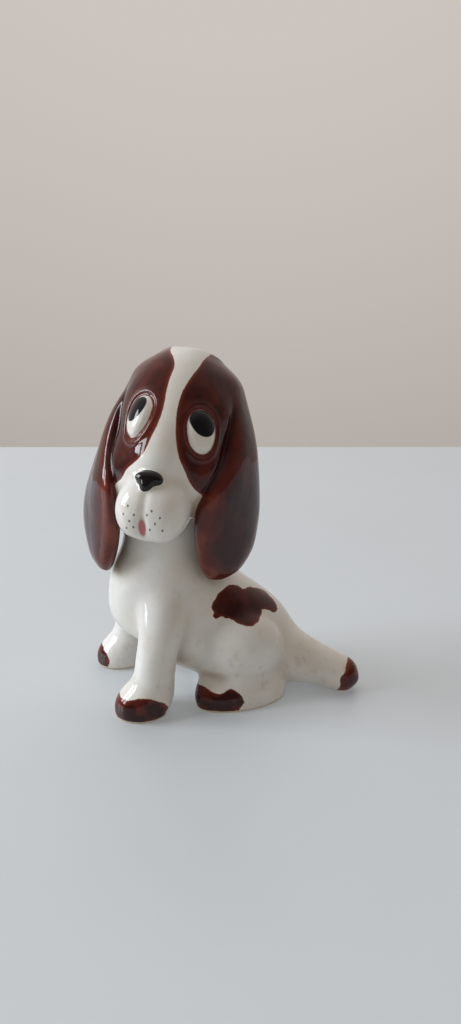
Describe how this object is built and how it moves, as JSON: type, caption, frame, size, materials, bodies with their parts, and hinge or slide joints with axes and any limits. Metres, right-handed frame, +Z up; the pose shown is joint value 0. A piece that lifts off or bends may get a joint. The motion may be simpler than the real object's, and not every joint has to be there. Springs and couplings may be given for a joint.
{
  "type": "sitting dog figurine",
  "caption": "Glazed ceramic figurine of a sitting long-eared puppy with its head turned, large eyes, drooping ears and a low tail, for display on a flat surface.",
  "frame": {"origin": "on the resting plane, below the middle of the figurine's bounding box", "axes": "+Z up, -Y is the way the dog's chest faces, +X is the dog's left side"},
  "size_m": [0.0588, 0.085, 0.1089],
  "materials": {
    "white_glaze": "gloss",
    "brown_glaze": "gloss",
    "eye_glaze": "gloss",
    "black_glaze": "gloss"
  },
  "bodies": {
    "root": {"torso": "white_glaze", "head": "white_glaze", "left_ear": "brown_glaze", "right_ear": "brown_glaze", "left_foreleg": "white_glaze", "right_foreleg": "white_glaze", "left_hind_leg": "white_glaze", "right_hind_leg": "white_glaze", "tail": "white_glaze", "left_eye": "eye_glaze", "right_eye": "eye_glaze", "nose": "black_glaze"}
  },
  "joints": []
}
